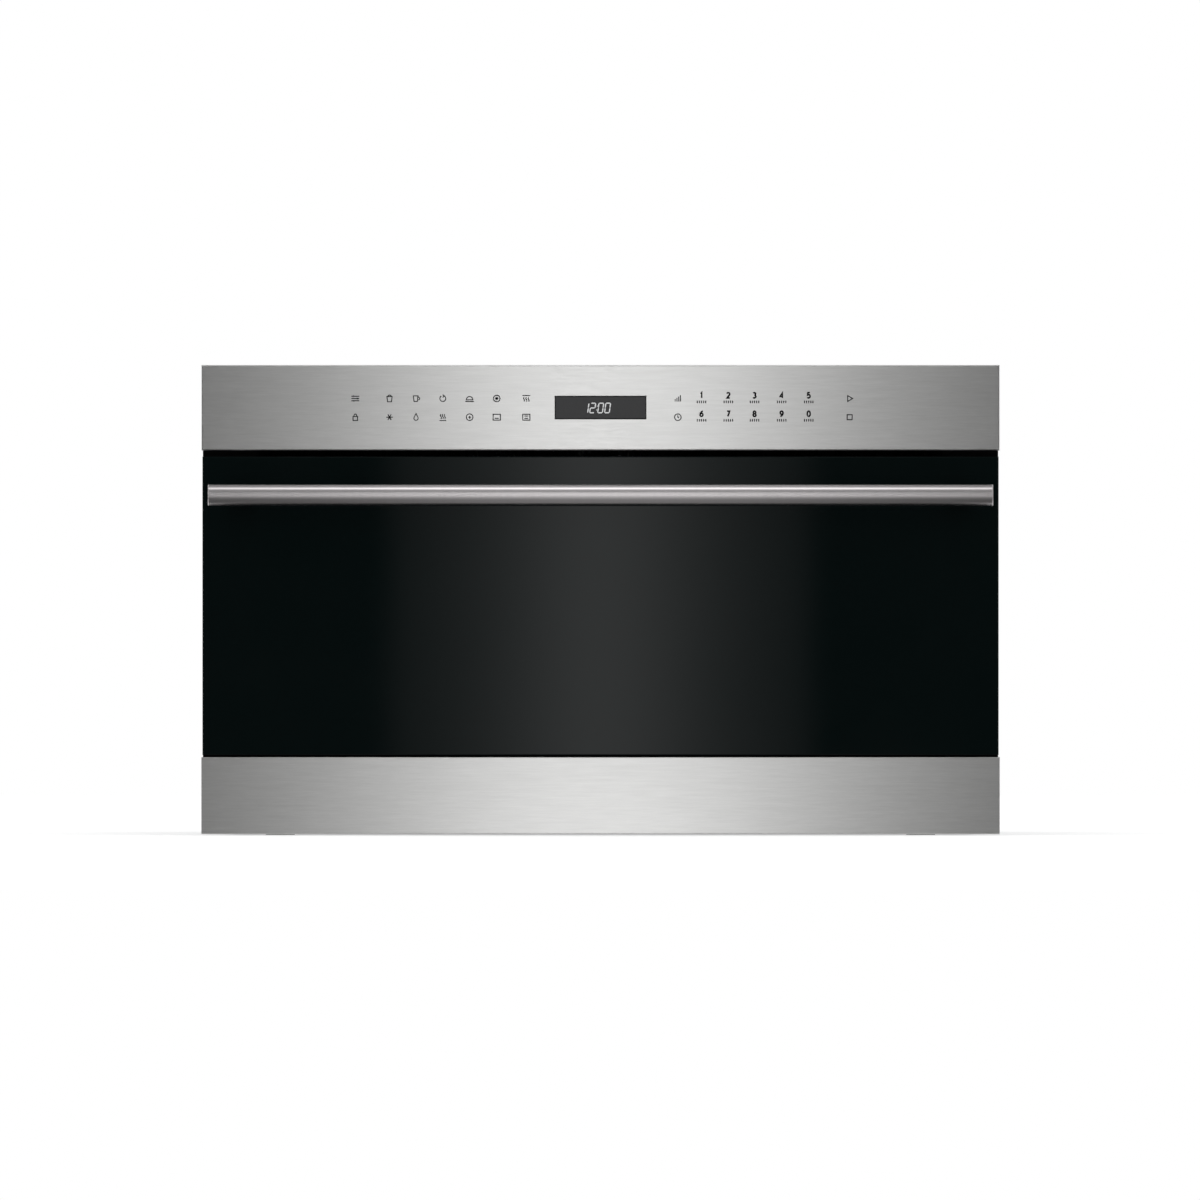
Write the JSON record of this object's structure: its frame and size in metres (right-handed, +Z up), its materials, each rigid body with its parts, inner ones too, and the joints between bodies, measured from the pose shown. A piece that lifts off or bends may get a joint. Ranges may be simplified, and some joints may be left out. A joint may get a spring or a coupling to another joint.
{
  "type": "speed oven",
  "caption": "Built-in speed oven with a drop-down glass door, full-width bar handle, stainless control fascia, lower trim, turntable and convection fan.",
  "frame": {"origin": "middle of the bounding box's footprint, on the surface the feet stand on", "axes": "+X to the oven's right as seen from the front, -Y out of the front, +Z up"},
  "size_m": [0.756, 0.6165, 0.4455],
  "materials": {
    "brushed_stainless": "brushed along X, satin",
    "handle_metal": "brushed along X, satin",
    "black_glass": "polished black back-painted glass",
    "clear_glass": "polished",
    "black_enamel": "semi-gloss enamel",
    "black_plastic": "fine matt",
    "display_window": "dark, slightly glossy",
    "zinc_plate": "galvanised, plain",
    "cavity_steel": "stainless, fine matt",
    "cast_alloy": "cast, painted grey",
    "element_sheath": "dark oxidised tube",
    "blanket": "woven mineral fibre",
    "board_laminate": "circuit board with parts",
    "mica_sheet": "mineral sheet",
    "copper_winding": "varnished winding and core",
    "light_plastic": "moulded plastic",
    "foot_rubber": "matt"
  },
  "bodies": {
    "chassis": {"control_fascia": "brushed_stainless", "display_lens": "display_window", "key_board": "board_laminate", "relay_board": "board_laminate", "exhaust_grille": "black_plastic", "lower_trim": "brushed_stainless", "front_frame": "black_enamel", "hinge_brackets": "zinc_plate", "stay_guides": "light_plastic", "switch_housings": "light_plastic", "base_pan": "zinc_plate", "feet": "foot_rubber", "top_cover": "zinc_plate", "rear_panel": "zinc_plate", "cable_bushing": "black_plastic", "terminal_block": "light_plastic", "chassis_screws": "zinc_plate", "cavity_floor": "cavity_steel", "cavity_ceiling": "cavity_steel", "cavity_wall_right": "cavity_steel", "cavity_wall_left": "cavity_steel", "cavity_wall_rear": "cavity_steel", "insulation_blanket": "blanket", "lamp_lens": "clear_glass", "oven_lamp": "cast_alloy", "temperature_sensor": "zinc_plate", "turntable_motor": "light_plastic", "convection_housing": "zinc_plate", "convection_motor": "zinc_plate", "convection_element": "element_sheath", "broil_element": "element_sheath", "waveguide": "zinc_plate", "feed_cover": "mica_sheet", "magnetron": "cast_alloy", "power_transformer": "copper_winding", "capacitor": "zinc_plate", "blower_housing": "black_plastic", "blower_motor": "zinc_plate", "air_duct": "black_plastic", "side_panel_right": "zinc_plate", "side_panel_left": "zinc_plate"},
    "door": {"door_glass": "black_glass", "door_frame": "black_enamel", "choke_frame": "black_enamel", "inner_glass": "clear_glass", "door_screen": "black_enamel", "handle_bar": "handle_metal", "handle_posts": "cast_alloy", "handle_screws": "zinc_plate", "hinge_leaves": "zinc_plate", "hinge_pins": "zinc_plate", "door_stays": "zinc_plate", "interlock_fingers": "light_plastic"},
    "turntable": {"turntable_drive": "light_plastic", "turntable_support": "cavity_steel", "turntable_tray": "black_enamel"},
    "convection_fan": {"convection_wheel": "cavity_steel"},
    "cooling_fan": {"blower_wheel": "black_plastic"},
    "plunger_left": {"interlock_plunger_left": "light_plastic"},
    "plunger_right": {"interlock_plunger_right": "light_plastic"}
  },
  "joints": [
    {"name": "door_hinge", "type": "hinge", "parent": "chassis", "child": "door", "pos_m": [0, -0.24175, 0.0897], "axis": [1, 0, 0], "range_deg": [0, 90]},
    {"name": "plunger_left_slide", "type": "slide", "parent": "chassis", "child": "plunger_left", "axis": [0, -1, 0], "range_m": [0, 0.003]},
    {"name": "plunger_right_slide", "type": "slide", "parent": "chassis", "child": "plunger_right", "axis": [0, -1, 0], "range_m": [0, 0.003]},
    {"name": "turntable_spin", "type": "hinge", "parent": "chassis", "child": "turntable", "pos_m": [0, -0.00625, 0.112], "axis": [0, 0, 1], "continuous": true},
    {"name": "convection_fan_spin", "type": "hinge", "parent": "chassis", "child": "convection_fan", "pos_m": [0, 0.22295, 0.223], "axis": [0, 1, 0], "continuous": true},
    {"name": "cooling_fan_spin", "type": "hinge", "parent": "chassis", "child": "cooling_fan", "pos_m": [0.023, 0.16425, 0.37], "axis": [0, 0, 1], "continuous": true}
  ],
  "couplings": [
    {"joint": "plunger_left_slide", "follows": "door_hinge", "m_per_rad": 0.0019098},
    {"joint": "plunger_right_slide", "follows": "door_hinge", "m_per_rad": 0.0019098}
  ]
}
